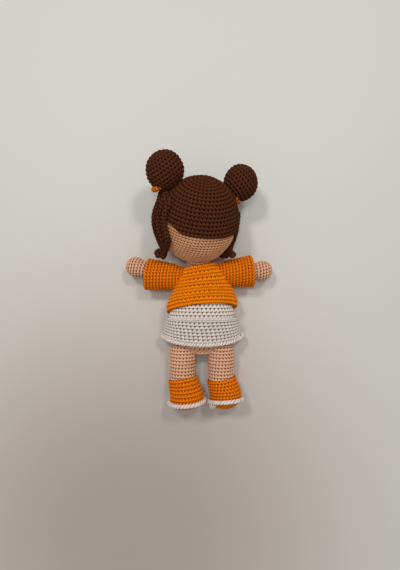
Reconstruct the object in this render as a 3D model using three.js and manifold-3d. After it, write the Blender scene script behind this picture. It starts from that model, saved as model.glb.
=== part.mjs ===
// A crocheted doll that lies on its back: millimetres, head toward +Y, face toward +Z, the table at z = 0.
// The origin is where the flat of its sweater's back lies on the table. "port" is the side at -X and
// "starboard" the side at +X, as seen from above with the head up.
import * as THREE from 'three';
import { mergeVertices } from 'three/addons/utils/BufferGeometryUtils.js';
import Module from 'manifold-3d';

const wasm = await Module();
wasm.setup();

const degree = Math.PI / 180;
const fullTurn = 2 * Math.PI;

// Stitched fabric, the room between pieces, and how deep the table presses a piece flat
const clearance = 0.3;
const skinWall = 2.4;
const cutDepth = 0.5;

// Facets: round limbs, the head and its cap, and the cloth pieces
const roundSides = 14;
const fillSides = 14;
const boreSides = 12;
const eggRows = 8;
const headSides = 20;
const headRows = 10;
const capRows = 7;
const clothSides = 22;
const hemSides = 28;

// Torso, from the hips up to the foot of the neck. A row of shares is the place along the torso, the
// part of the neck's shift, the height over the table, the half width, the half depth and the lean.
const torsoBottom = -43.6;
const torsoLength = 86.6;
const torsoHalfWidth = 33.2;
const torsoHalfDepth = 18.4;
const sweaterLoft = 5.6;
const torsoHeight = torsoHalfDepth + sweaterLoft;
const neckShift = -3.4;
const shoulderLean = 12 * degree;
const hipHeightShare = 0.65;
const torsoShares = [
  [0, 0, hipHeightShare, 0.919, 0.641, 0],
  [0.042, 0, 0.692, 0.97, 0.717, 0],
  [0.134, 0, 0.783, 0.988, 0.837, 0],
  [0.261, 0, 0.892, 1, 0.957, 0],
  [0.411, 0, 0.992, 0.976, 1, 0],
  [0.55, 0, 1, 0.904, 1, 0],
  [0.688, 0, 0.983, 0.771, 0.957, 0],
  [0.827, 0.12, 0.95, 0.633, 0.848, 0],
  [0.919, 0.36, 0.917, 0.554, 0.739, 0.33],
  [1, 1, 0.9, 0.392, 0.696, 1],
];
const neckRadius = 12.9;
const neckRise = 5.7;

// Head: an egg that is longer along its own axis, with the neck sewn in below
const headRadius = 39.1;
const headHalfLength = 44.4;
const headNod = 32 * degree;
const headRoll = 9 * degree;
const headTurn = 8 * degree;
const headSink = 1.5;
const neckDepthInHead = 3;

// Hair cap over the head, low at the nape and high over the face
const capWall = 2.5;
const fringeLatitude = 1 * degree;
const napeLatitude = -52 * degree;
const fringeEnd = 58 * degree;
const napeStart = 98 * degree;

// Hair buns with a stretchy tie round the foot of each
const buns = {
  port: { radius: 19.3, angle: 42.5 * degree, forward: -17 * degree, side: -1 },
  starboard: { radius: 17.8, angle: 49.5 * degree, forward: -27 * degree, side: 1 },
};
const bunSink = 2.5;
const bunMouthShare = 0.42;
const tieYarn = 2.9;
const tieRingShare = 0.78;
const tieSides = 7;

// Hair locks: three strands at each side. A row of shares is azimuth and latitude, in right angles,
// and then the distance above the cap, in strand widths.
const rightAngle = 90 * degree;
const lockWidth = 4.2;
const lockTipShare = 0.8;
const lockSteps = 13;
const lockSides = 6;
const curlRadius = 3.7;
const curlTurnShare = 0.8;
const curlSteps = 6;
const lockRouteShares = {
  back: [
    [-1.022, 0.189, 0.46],
    [-0.956, 0.078, 0.8],
    [-0.878, -0.022, 1.6],
    [-0.789, -0.122, 2],
    [-0.7, -0.222, 2.1],
    [-0.644, -0.311, 2.2],
  ],
  middle: [
    [-0.878, 0.222, 0.57],
    [-0.822, 0.111, 0.57],
    [-0.756, 0, 0.65],
    [-0.678, -0.1, 0.75],
    [-0.622, -0.189, 0.8],
    [-0.589, -0.256, 0.85],
  ],
  front: [
    [-0.722, 0.156, 0.57],
    [-0.667, 0.067, 0.6],
    [-0.589, -0.033, 0.68],
    [-0.533, -0.122, 0.8],
    [-0.5, -0.211, 0.85],
    [-0.478, -0.311, 0.9],
  ],
};
const lockShift = { port: 0, starboard: 12 * degree };
const curlSides = { back: 1, middle: 0, front: -1 };

// Arms: balls at both ends of a slim tube, in seats at the torso's sides. rise is the arm's angle over
// the doll's left and right line, and sleeve is the angle from the arm to its sleeve.
const armWall = 2.2;
const armRadius = 8.2;
const wristRadius = 8.8;
const handRadius = 10.7;
const handRows = 5;
const armRootRows = 3;
const armMouthShare = 0.6;
const shoulderHeightShare = 0.875;
const armSag = 4.5 * degree;
const arms = {
  port: {
    side: -1, alongShare: 0.898, asideShare: 0.807, reach: 47.3, rise: 14.3 * degree,
    cuff: 32.4, sleeve: -7.6 * degree,
  },
  starboard: {
    side: 1, alongShare: 0.9515, asideShare: 0.747, reach: 41.3, rise: 4.3 * degree,
    cuff: 28.4, sleeve: 0.2 * degree,
  },
};

// Sweater body: from the collar to the hem, which rides up over the belly. A row of shares is the place
// down from the collar, then as for the torso, then the slope that lifts the front and the roll.
const sweaterWall = 2.8;
const sweaterEase = 5;
const sweaterLength = 48.6;
const collarRise = 4.6;
const collarY = torsoBottom + torsoLength + collarRise;
const hemY = collarY - sweaterLength;
const sweaterHalfWidth = torsoHalfWidth + sweaterEase;
const sweaterHalfDepth = torsoHeight + cutDepth;
const hemSlope = 0.3;
const collarRoll = 11 * degree;
const sweaterShares = [
  [0, 1, 0.925, 0.424, 0.718, 0.067, 1],
  [0.126, 0.71, 0.933, 0.545, 0.767, 0.1, 0.91],
  [0.3, 0.29, 0.95, 0.691, 0.841, 0.2, 0.64],
  [0.506, 0.12, 0.958, 0.817, 0.922, 0.4, 0.45],
  [0.691, 0, 0.975, 0.921, 0.976, 0.667, 0.41],
  [0.866, 0, 1, 0.99, 1, 0.933, 0.41],
  [1, 0, 1, 1, 1, 1, 0.41],
];

// Sleeves: sewn on round the shoulder, wide at the cuff
const sleeveWall = 2.6;
const seamEase = 1.3;
const sleeveEase = 5;
const cuffEase = 8.4;
const sleeveSeam = armRadius + seamEase;
const sleeveRoot = armRadius + sleeveEase;
const sleeveCuff = wristRadius + cuffEase;
const seamDepth = 14;
const armHoleRim = 0.5;
const armHole = sleeveRoot - armHoleRim;

// Skirt: a yoke round the belly and a flounce that hangs from its ridge, with a corded edge
const yokeWall = 2.4;
const yokeTuck = 3.5;
const yokeShow = 8.6;
const yokeSkirt = 7.8;
const yokeTop = hemY + yokeTuck;
const ridgeY = hemY - yokeShow;
const flounceWall = 2.4;
const flounceEase = 5.2;
const flounceFlare = 4;
const flounceLength = { front: 26, side: 17.6, back: 13 };
const flounceTop = { wide: torsoHalfWidth + flounceEase, front: torsoHeight, height: torsoHeight };
const flounceHem = { wide: flounceTop.wide + flounceFlare, front: 22.4, height: 14.8 };
const flounceSteps = 4;
const edgingRadius = 1.8;
const edgingSides = 6;

// Legs in shoes: plain tubes, then a wide shoe with a corded seam and a domed sole. A row of shares is
// the place down the leg or the shoe and the part of the change in width there.
const hipY = torsoBottom - clearance;
const legLength = 32;
const legWall = 2.4;
const legRadius = 14.1;
const legTopShare = 0.97;
const thighShare = 0.25;
const calfShare = 0.8;
const ankleRadius = 13.7;
const legInShoe = 7;
const rimDepth = 2.6;
const legHeight = torsoHeight * hipHeightShare;
const shoeWall = 2.4;
const shoeEase = 1.7;
const shoeTopRadius = ankleRadius + shoeEase;
const shoeLength = 24.5;
const shoeHalfWidth = 16.8;
const shoeHalfLength = 20.6;
const shoeShares = [[0, 0], [0.2, 0.2], [0.45, 0.62], [0.7, 0.9], [0.88, 1.03], [1, 1]];
const toeShift = 8.6;
const toeTurn = 26 * degree;
const soleWall = 2.4;
const soleDome = 7.6;
const soleShares = [[0, 1], [0.5, 0.8], [0.86, 0.45], [1, 0.1]];
const seamCord = 1.8;
const seamSides = 6;
const seamSteps = 20;
const legs = {
  port: { side: -1, asideShare: 0.642, tilt: 5 * degree, toeBack: 2 * degree },
  starboard: { side: 1, asideShare: 0.636, tilt: 2 * degree, toeBack: 13 * degree },
};

// The torso's lowest part, between the legs. A row of shares is the place down it and its width.
const legGap = torsoHalfWidth * legs.starboard.asideShare - legRadius;
const crotchHalfWidth = legGap - 2 * clearance;
const crotchReach = 8;
const crotchHalfDepth = 10.5;
const crotchShares = [[-1, 1], [0.6, 1], [0.9, 0.86], [1, 0.66]];

const colours = {
  peach: { color: 0xe3b597, roughness: 0.92, metalness: 0 },
  brown: { color: 0x4a2415, roughness: 0.9, metalness: 0 },
  orange: { color: 0xf28500, roughness: 0.88, metalness: 0 },
  white: { color: 0xe6e1dc, roughness: 0.9, metalness: 0 },
  fill: { color: 0xf4f4f0, roughness: 1, metalness: 0 },
};

// A closed body through rings of points. With loop the last ring joins the first, and otherwise
// each end is closed by a fan.
function bodyThrough(rings, loop = false) {
  const sides = rings[0].length;
  const points = rings.flat();
  const faces = [];
  const lastRing = loop ? rings.length : rings.length - 1;
  for (let r = 0; r < lastRing; r++) {
    const here = r * sides;
    const next = ((r + 1) % rings.length) * sides;
    for (let s = 0; s < sides; s++) {
      const t = (s + 1) % sides;
      faces.push(here + s, here + t, next + t, here + s, next + t, next + s);
    }
  }
  if (!loop) {
    const last = (rings.length - 1) * sides;
    const first = points.push(middleOf(rings[0])) - 1;
    const end = points.push(middleOf(rings[rings.length - 1])) - 1;
    for (let s = 0; s < sides; s++) {
      const t = (s + 1) % sides;
      faces.push(first, t, s, end, last + s, last + t);
    }
  }
  const coordinates = points.flatMap((p) => p.toArray());
  const geometry = new THREE.BufferGeometry();
  geometry.setAttribute('position', new THREE.Float32BufferAttribute(coordinates, 3));
  geometry.setIndex(volumeOf(points, faces) < 0 ? faces.reverse() : faces);
  return geometry;
}

function middleOf(ring) {
  const middle = new THREE.Vector3();
  ring.forEach((p) => middle.add(p));
  return middle.divideScalar(ring.length);
}

function volumeOf(points, faces) {
  let sum = 0;
  const normal = new THREE.Vector3();
  for (let i = 0; i < faces.length; i += 3) {
    normal.crossVectors(points[faces[i + 1]], points[faces[i + 2]]);
    sum += points[faces[i]].dot(normal);
  }
  return sum;
}

function mergedShape(geometry) {
  const bare = geometry.clone();
  bare.deleteAttribute('normal');
  bare.deleteAttribute('uv');
  return mergeVertices(bare);
}

function solidOf(geometry) {
  const merged = mergedShape(geometry);
  const mesh = new wasm.Mesh({
    numProp: 3,
    vertProperties: new Float32Array(merged.attributes.position.array),
    triVerts: new Uint32Array(merged.index.array),
  });
  return new wasm.Manifold(mesh);
}

function geometryOf(solid) {
  const mesh = solid.getMesh();
  const geometry = new THREE.BufferGeometry();
  geometry.setAttribute('position', new THREE.BufferAttribute(new Float32Array(mesh.vertProperties), 3));
  geometry.setIndex(Array.from(mesh.triVerts));
  return geometry;
}

function cut(geometry, ...tools) {
  let left = solidOf(geometry);
  for (const tool of tools) {
    left = left.subtract(solidOf(tool));
  }
  return geometryOf(left);
}

const join = (geometry, other) => geometryOf(solidOf(geometry).add(solidOf(other)));

function placed(geometry, matrix) {
  const moved = geometry.clone();
  moved.applyMatrix4(matrix);
  return moved;
}

// The half space under the table, in the frame of a group that lies at matrix
function underTable(matrix = new THREE.Matrix4()) {
  const reach = 4 * headHalfLength;
  const slab = new THREE.BoxGeometry(2 * reach, 2 * reach, reach);
  slab.translate(0, 0, -reach / 2);
  return placed(slab, matrix.clone().invert());
}

const smooth = (share) => share * share * (3 - 2 * share);
const between = (x, low, high) => Math.min(Math.max((x - low) / (high - low), 0), 1);
const mix = (low, high, share) => low + (high - low) * share;

// One point for each side, at equal angles round a full turn
function ringOf(sides, pointAt) {
  return Array.from({ length: sides }, (_, s) => pointAt((s / sides) * fullTurn));
}

// A point of an egg about the origin: azimuth from +Z toward +X, latitude toward +Y
function eggPoint(radius, halfLength, azimuth, latitude) {
  return new THREE.Vector3(
    radius * Math.cos(latitude) * Math.sin(azimuth),
    halfLength * Math.sin(latitude),
    radius * Math.cos(latitude) * Math.cos(azimuth),
  );
}

// Rings of an egg from one latitude down to another, which may follow the azimuth
function eggRings(radius, halfLength, from, lastAt, count, sides) {
  return Array.from({ length: count + 1 }, (_, r) => ringOf(sides, (azimuth) => (
    eggPoint(radius, halfLength, azimuth, mix(from, lastAt(azimuth), r / count))
  )));
}

const poleGap = 6 * degree;
const poleLatitude = 90 * degree - poleGap;

function eggBody(radius, halfLength = radius, sides = roundSides, rows = eggRows) {
  return bodyThrough(eggRings(radius, halfLength, poleLatitude, () => -poleLatitude, rows, sides));
}

// Rings about +Y through [y, radius] pairs
function turnedRings(profile, sides, inset = 0) {
  return profile.map(([y, radius]) => ringOf(sides, (angle) => (
    new THREE.Vector3((radius - inset) * Math.sin(angle), y, (radius - inset) * Math.cos(angle))
  )));
}

const turned = (profile, sides = roundSides) => bodyThrough(turnedRings(profile, sides));

// A tube about +Y with a wall, open at both ends
function turnedTube(profile, wall, sides = roundSides) {
  return bodyThrough([...turnedRings(profile, sides), ...turnedRings(profile, sides, wall).reverse()], true);
}

// A round cord through points, closed or with rounded ends
function cordThrough(curve, radius, steps, sides, closed = false, taper = () => 1) {
  const frames = curve.computeFrenetFrames(steps, closed);
  const rings = [];
  for (let i = 0; i <= (closed ? steps - 1 : steps); i++) {
    const centre = curve.getPointAt(i / steps);
    const width = radius * taper(i / steps);
    rings.push(ringOf(sides, (angle) => centre.clone()
      .addScaledVector(frames.normals[i], width * Math.cos(angle))
      .addScaledVector(frames.binormals[i], width * Math.sin(angle))));
  }
  return bodyThrough(rings, closed);
}

function node(name, geometry, look, parent) {
  const mesh = new THREE.Mesh(geometry, new THREE.MeshStandardMaterial(look));
  mesh.name = name;
  parent.add(mesh);
  return mesh;
}

// A group at a matrix, in the frame of its parent
function groupAt(matrix, parent) {
  const group = new THREE.Group();
  matrix.decompose(group.position, group.quaternion, group.scale);
  parent.add(group);
  return group;
}

const doll = new THREE.Group();
doll.name = 'crocheted_doll';

const torsoSections = torsoShares.map(([along, aside, height, wide, deep, lean]) => ({
  y: torsoBottom + torsoLength * along,
  x: neckShift * aside,
  z: torsoHeight * height,
  wide: torsoHalfWidth * wide,
  deep: torsoHalfDepth * deep,
  lean: shoulderLean * lean,
}));

// The head's frame. The lowest point of an egg whose axis is nodded is as far down as its reach, and
// the cap's back is sunk a little into the table, so that it lies on a flat.
const capRadius = headRadius + clearance + capWall;
const capHalfLength = headHalfLength + clearance + capWall;
const capReachDown = Math.hypot(capRadius * Math.cos(headNod), capHalfLength * Math.sin(headNod));
const neckFoot = torsoSections[torsoSections.length - 1];
const headPlace = new THREE.Vector3(
  neckShift,
  neckFoot.y + neckRise + headHalfLength,
  capReachDown - headSink,
);
const headTurns = new THREE.Euler(headNod, headTurn, -headRoll, 'ZXY');
const headMatrix = new THREE.Matrix4().makeRotationFromEuler(headTurns).setPosition(headPlace);
const headGroup = groupAt(headMatrix, doll);

// The neck's line runs from the top of the torso to the middle of the head
const neckLine = headPlace.clone().sub(new THREE.Vector3(neckFoot.x, neckFoot.y, neckFoot.z)).normalize();
const neckTurn = new THREE.Quaternion().setFromUnitVectors(new THREE.Vector3(0, 1, 0), neckLine);
const neckMatrix = new THREE.Matrix4().makeRotationFromQuaternion(neckTurn).setPosition(headPlace);
const headFromNeck = headMatrix.clone().invert().multiply(neckMatrix);
const neckTop = headHalfLength - neckDepthInHead;

// A round plug along the neck, in the head's frame, from far below up to a distance under the middle
function neckPlug(radius, top) {
  const far = 2 * headHalfLength;
  return placed(turned([[-far, radius], [-top, radius]]), headFromNeck);
}

const headEgg = (grow) => eggBody(headRadius + grow, headHalfLength + grow, headSides, headRows);

function addHead() {
  const neckHole = neckRadius + 2 * clearance;
  const skin = cut(headEgg(0), headEgg(-skinWall), neckPlug(neckHole, neckTop / 2));
  node('head_skin', skin, colours.peach, headGroup);
  const filling = cut(headEgg(-skinWall - clearance), neckPlug(neckHole, neckTop - 2 * clearance));
  node('head_stuffing', filling, colours.fill, headGroup);
}

function capEdge(azimuth) {
  const turnedBy = Math.abs(azimuth > Math.PI ? azimuth - fullTurn : azimuth);
  return mix(fringeLatitude, napeLatitude, smooth(between(turnedBy, fringeEnd, napeStart)));
}

function addHairCap() {
  const sunk = 2 * capWall;
  const shellAt = (inset) => (
    eggRings(capRadius - inset, capHalfLength - inset, poleLatitude, capEdge, capRows, headSides)
  );
  const shell = bodyThrough([...shellAt(0), ...shellAt(sunk).reverse()]);
  node('hair_cap', cut(shell, headEgg(clearance), underTable(headMatrix)), colours.brown, headGroup);
}

// How far the cap's outside is from the head's middle, at an angle from the crown
function capReach(angle) {
  return 1 / Math.hypot(Math.cos(angle) / capHalfLength, Math.sin(angle) / capRadius);
}

function addBun(name, bun) {
  const line = new THREE.Vector3(
    bun.side * Math.sin(bun.angle) * Math.cos(bun.forward),
    Math.cos(bun.angle),
    Math.sin(bun.angle) * Math.sin(bun.forward),
  );
  const group = new THREE.Group();
  group.quaternion.setFromUnitVectors(new THREE.Vector3(0, 1, 0), line);
  group.position.copy(line).multiplyScalar(capReach(bun.angle) + bun.radius - bunSink);
  group.updateMatrix();
  headGroup.add(group);
  const cap = placed(headEgg(capWall + 3 * clearance), group.matrix.clone().invert());
  const mouthRadius = bun.radius * bunMouthShare;
  const mouth = turned([[-2 * bun.radius, mouthRadius], [0, mouthRadius]], boreSides);
  const skin = cut(eggBody(bun.radius), eggBody(bun.radius - skinWall), mouth, cap);
  node(`hair_bun_${name}`, skin, colours.brown, group);
  const fillRadius = bun.radius - skinWall - clearance;
  const filling = cut(eggBody(fillRadius, fillRadius, fillSides), cap);
  node(`hair_bun_stuffing_${name}`, filling, colours.fill, group);
  const ring = bun.radius * tieRingShare;
  const drop = Math.sqrt((bun.radius + tieYarn + clearance) ** 2 - ring ** 2);
  const section = ringOf(tieSides, (angle) => (
    new THREE.Vector2(ring + tieYarn * Math.cos(angle), tieYarn * Math.sin(angle) - drop)
  ));
  const tie = new THREE.LatheGeometry([...section, section[0].clone()], roundSides);
  node(`hair_tie_${name}`, cut(turnedOut(tie), cap), colours.orange, group);
}

// A shape with its faces turned out
function turnedOut(geometry) {
  const merged = mergedShape(geometry);
  const position = merged.attributes.position;
  const points = Array.from({ length: position.count }, (_, i) => (
    new THREE.Vector3().fromBufferAttribute(position, i)
  ));
  const faces = Array.from(merged.index.array);
  merged.setIndex(volumeOf(points, faces) < 0 ? faces.reverse() : faces);
  return merged;
}

// A strand follows the cap and ends in a curl that turns toward curlSide
function strandCurve(route, side, shift, curlSide) {
  const points = route.map(([azimuthShare, latitudeShare, liftShare]) => {
    const away = liftShare * lockWidth;
    const turn = side * (shift - azimuthShare * rightAngle);
    return eggPoint(capRadius + away, capHalfLength + away, turn, latitudeShare * rightAngle);
  });
  const last = points[points.length - 1];
  const along = last.clone().sub(points[points.length - 2]).normalize();
  const outward = last.clone().normalize();
  const across = new THREE.Vector3().crossVectors(along, outward);
  const bend = curlSide ? across.multiplyScalar(-side * curlSide).normalize() : outward;
  const radius = curlSide ? curlRadius : curlRadius * lockTipShare;
  const curl = curlTurnShare * (curlSide ? fullTurn : Math.PI);
  for (let i = 1; i <= curlSteps; i++) {
    const angle = (i / curlSteps) * curl;
    points.push(last.clone()
      .addScaledVector(along, radius * Math.sin(angle))
      .addScaledVector(bend, radius * (1 - Math.cos(angle))));
  }
  return new THREE.CatmullRomCurve3(points, false, 'centripetal');
}

function addLocks(name, side) {
  const taper = (share) => (share === 1 ? lockTipShare / 2 : 1);
  for (const [place, route] of Object.entries(lockRouteShares)) {
    const curve = strandCurve(route, side, lockShift[name], curlSides[place]);
    const strand = cordThrough(curve, lockWidth / 2, lockSteps, lockSides, false, taper);
    node(`hair_lock_${place}_${name}`, strand, colours.brown, headGroup);
  }
}

// A ring of the torso or of the sweater. rise tips it so that its front is higher up the doll.
function sectionRing({ y, x, z, wide, deep, lean = 0, rise = 0, roll = 0 }, inset, sides) {
  return ringOf(sides, (angle) => {
    const across = (wide - inset) * Math.cos(angle);
    const up = (deep - inset) * Math.sin(angle);
    return new THREE.Vector3(
      x + across,
      y - up * Math.sin(lean) + up * rise + across * Math.tan(roll),
      z + up * Math.cos(lean),
    );
  });
}

// The torso with the neck, which ends inside the head
const neckSections = [headHalfLength + neckDepthInHead, neckTop].map((below) => {
  const { x, y, z } = headPlace.clone().addScaledVector(neckLine, -below);
  return { x, y, z, wide: neckRadius, deep: neckRadius, lean: Math.atan2(neckLine.z, neckLine.y) };
});

function crotchBody(inset) {
  const hips = torsoSections[0];
  return bodyThrough(crotchShares.map(([down, size]) => sectionRing({
    ...hips,
    y: hips.y - down * (crotchReach - inset),
    wide: size * crotchHalfWidth,
    deep: size * crotchHalfDepth,
  }, inset, roundSides)));
}

// The torso, made smaller by inset, or larger where that is below zero
function trunkBody(inset) {
  const hips = torsoSections[0];
  const sections = [{ ...hips, y: hips.y + inset }, ...torsoSections.slice(1), ...neckSections];
  const trunk = bodyThrough(sections.map((section) => sectionRing(section, inset, roundSides)));
  return join(trunk, crotchBody(inset));
}

function shoulderMatrix(arm) {
  const turn = new THREE.Matrix4().makeRotationZ(arm.side > 0 ? arm.rise : Math.PI - arm.rise);
  const sag = new THREE.Matrix4().makeRotationY(armSag);
  const place = new THREE.Matrix4().makeTranslation(
    arm.side * arm.asideShare * torsoHalfWidth,
    torsoBottom + arm.alongShare * torsoLength,
    shoulderHeightShare * torsoHeight,
  );
  return place.multiply(turn).multiply(sag);
}

function addTorso() {
  const mouthRadius = neckRadius - skinWall;
  const mouth = turned([[-neckTop - skinWall, mouthRadius], [0, mouthRadius]]);
  const seats = Object.values(arms).map((arm) => (
    placed(eggBody(armRadius + clearance), shoulderMatrix(arm))
  ));
  const skin = cut(trunkBody(0), trunkBody(skinWall), placed(mouth, neckMatrix), ...seats);
  node('torso_skin', skin, colours.peach, doll);
  const lid = placed(turned([[-neckTop, neckRadius], [0, neckRadius]]), neckMatrix);
  node('torso_stuffing', cut(trunkBody(skinWall + clearance), lid), colours.fill, doll);
}

// The sleeve's own line, in the arm's frame
function sleeveMatrix(arm) {
  const turn = new THREE.Matrix4().makeRotationZ(arm.side * arm.sleeve);
  return turn.multiply(new THREE.Matrix4().makeRotationZ(-90 * degree));
}

const sweaterSections = sweaterShares.map(([down, aside, height, wide, deep, rise, roll]) => ({
  y: collarY - sweaterLength * down,
  x: neckShift * aside,
  z: torsoHeight * height,
  wide: sweaterHalfWidth * wide,
  deep: sweaterHalfDepth * deep,
  rise: hemSlope * rise,
  roll: collarRoll * roll,
}));

const sweaterRings = (inset) => sweaterSections.map((section) => sectionRing(section, inset, clothSides));

function addSweaterBody() {
  const holes = Object.values(arms).flatMap((arm) => {
    const matrix = shoulderMatrix(arm);
    const drill = turned([[0, armHole], [2 * arm.cuff, armHole]]);
    return [placed(drill, matrix.clone().multiply(sleeveMatrix(arm))), placed(eggBody(armHole), matrix)];
  });
  const tube = bodyThrough([...sweaterRings(0), ...sweaterRings(sweaterWall).reverse()], true);
  node('sweater_body', cut(tube, ...holes, trunkBody(-clearance), underTable()), colours.orange, doll);
}

function addArm(name, arm) {
  const matrix = shoulderMatrix(arm);
  const group = groupAt(matrix, doll);
  const toArm = new THREE.Matrix4().makeRotationZ(-90 * degree);
  const wrist = Math.acos(Math.min(wristRadius / handRadius, 1));
  const profile = (inset) => {
    const points = [];
    for (let i = 0; i < armRootRows; i++) {
      const angle = mix(-90 * degree + poleGap, 0, i / armRootRows);
      points.push([(armRadius - inset) * Math.sin(angle), (armRadius - inset) * Math.cos(angle)]);
    }
    points.push([0, armRadius - inset]);
    points.push([arm.reach / 2, (armRadius + wristRadius) / 2 - inset]);
    for (let i = 0; i <= handRows; i++) {
      const angle = mix(-wrist, 90 * degree - poleGap, i / handRows);
      const handSize = handRadius - inset;
      points.push([arm.reach + handSize * Math.sin(angle), handSize * Math.cos(angle)]);
    }
    return points;
  };
  const mouthRadius = armRadius * armMouthShare;
  const mouth = turned([[-2 * armRadius, mouthRadius], [0, mouthRadius]], boreSides);
  const skin = cut(turned(profile(0)), turned(profile(armWall)), mouth);
  node(`arm_skin_${name}`, placed(skin, toArm), colours.peach, group);
  const filling = turned(profile(armWall + clearance), fillSides);
  node(`arm_stuffing_${name}`, placed(filling, toArm), colours.fill, group);
  const tube = turnedTube([
    [-seamDepth, sleeveSeam],
    [-seamDepth / 2, (sleeveSeam + sleeveRoot) / 2 + clearance],
    [0, sleeveRoot],
    [arm.cuff / 2, (sleeveRoot + sleeveCuff) / 2 + clearance],
    [arm.cuff, sleeveCuff],
  ], sleeveWall);
  const sweater = placed(bodyThrough(sweaterRings(-clearance)), matrix.clone().invert());
  const sleeve = cut(placed(tube, sleeveMatrix(arm)), sweater, underTable(matrix));
  node(`sweater_sleeve_${name}`, sleeve, colours.orange, group);
}

// The torso's section at y, from the two of its sections that lie round it
function trunkAt(y) {
  const found = torsoSections.findIndex((section) => section.y > y);
  const above = found < 0 ? torsoSections.length - 1 : Math.max(found, 1);
  const low = torsoSections[above - 1];
  const high = torsoSections[above];
  const at = (key) => mix(low[key], high[key], between(y, low.y, high.y));
  return { y, x: at('x'), z: at('z'), wide: at('wide'), deep: at('deep') };
}

function addYoke() {
  const levels = [yokeTop, (yokeTop + ridgeY) / 2, ridgeY, ridgeY - yokeSkirt];
  const ringsAt = (grow) => levels.map((y) => sectionRing(trunkAt(y), -grow, clothSides));
  const yoke = bodyThrough([...ringsAt(clearance + yokeWall), ...ringsAt(0).reverse()], true);
  node('skirt_yoke', cut(yoke, trunkBody(-clearance), underTable()), colours.white, doll);
}

// A point of the flounce: share 0 at the ridge and 1 at the hem, angle from +X toward the front
function flouncePoint(share, angle, inset) {
  const up = Math.sin(angle);
  const height = mix(flounceTop.height, flounceHem.height, share);
  const half = up > 0 ? mix(flounceTop.front, flounceHem.front, share) : height + cutDepth;
  const end = up > 0 ? flounceLength.front : flounceLength.back;
  const length = mix(flounceLength.side, end, Math.abs(up));
  const wide = mix(flounceTop.wide, flounceHem.wide, share);
  return new THREE.Vector3(
    (wide - inset) * Math.cos(angle),
    ridgeY - length * share,
    height + (half - inset) * up,
  );
}

function addFlounce() {
  const ringsAt = (inset) => Array.from({ length: flounceSteps + 1 }, (_, r) => (
    ringOf(hemSides, (angle) => flouncePoint(r / flounceSteps, angle, inset))
  ));
  const tube = bodyThrough([...ringsAt(0), ...ringsAt(flounceWall).reverse()], true);
  const levels = [yokeTop, ridgeY, ridgeY - yokeSkirt, ridgeY - flounceLength.front];
  const inside = bodyThrough(levels.map((y) => (
    sectionRing(trunkAt(y), -(yokeWall + 2 * clearance), clothSides)
  )));
  node('skirt_flounce', cut(tube, inside, underTable()), colours.white, doll);
  const line = ringOf(hemSides, (angle) => {
    const edge = flouncePoint(1, angle, flounceWall / 2);
    edge.y -= edgingRadius + clearance;
    edge.z = Math.max(edge.z, edgingRadius + clearance);
    return edge;
  });
  const hemLine = new THREE.CatmullRomCurve3(line, true);
  node('skirt_edging', cordThrough(hemLine, edgingRadius, hemSides, edgingSides, true), colours.white, doll);
}

function hipMatrix(leg) {
  return new THREE.Matrix4().makeTranslation(leg.side * leg.asideShare * torsoHalfWidth, hipY, legHeight);
}

// The shoe's frame at the ankle, in the leg's: turned about the leg, then tipped
function ankleMatrix(leg) {
  const tip = new THREE.Matrix4().makeRotationZ(leg.tilt / 2);
  const turn = new THREE.Matrix4().makeRotationY(toeTurn);
  const back = new THREE.Matrix4().makeRotationX(leg.toeBack / 2);
  return new THREE.Matrix4().makeTranslation(0, -legLength, 0).multiply(tip).multiply(turn).multiply(back);
}

// How far a point of the slanted sole lies above a level one
const soleLift = (leg, across, forward) => forward * Math.tan(leg.toeBack) + across * Math.tan(leg.tilt);

// Rings of the shoe from its top to its sole
function shoeRings(inset, leg) {
  return shoeShares.map(([down, wider]) => {
    const wide = mix(shoeTopRadius, shoeHalfWidth, wider) - inset;
    const deep = mix(shoeTopRadius, shoeHalfLength, wider) - inset;
    return ringOf(roundSides, (angle) => {
      const across = wide * Math.cos(angle);
      const forward = toeShift * wider + deep * Math.sin(angle);
      const lift = down * soleLift(leg, across, forward);
      return new THREE.Vector3(across, lift - shoeLength * down, forward);
    });
  });
}

// Rings of the sole from its rim to the middle of its dome, lower by drop
function soleRings(inset, leg, drop, dome) {
  return soleShares.map(([deeper, size]) => ringOf(roundSides, (angle) => {
    const across = size * (shoeHalfWidth - inset) * Math.cos(angle);
    const forward = toeShift + size * (shoeHalfLength - inset) * Math.sin(angle);
    const y = soleLift(leg, across, forward) - shoeLength - drop - dome * deeper;
    return new THREE.Vector3(across, y, forward);
  }));
}

// [y, radius] pairs down the leg to its end in the shoe. The end is slimmer, and the shoe's top
// edge lies round the rim where the leg steps in.
const rimY = -legLength - rimDepth;
const legEnd = -legLength - legInShoe;
const legInShoeRadius = shoeTopRadius - shoeWall - clearance;
const legProfile = [
  [0, legRadius * legTopShare],
  [-legLength * thighShare, legRadius],
  [-legLength * calfShare, ankleRadius],
  [rimY, ankleRadius],
  [rimY - clearance, legInShoeRadius],
  [legEnd, legInShoeRadius],
];

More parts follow.
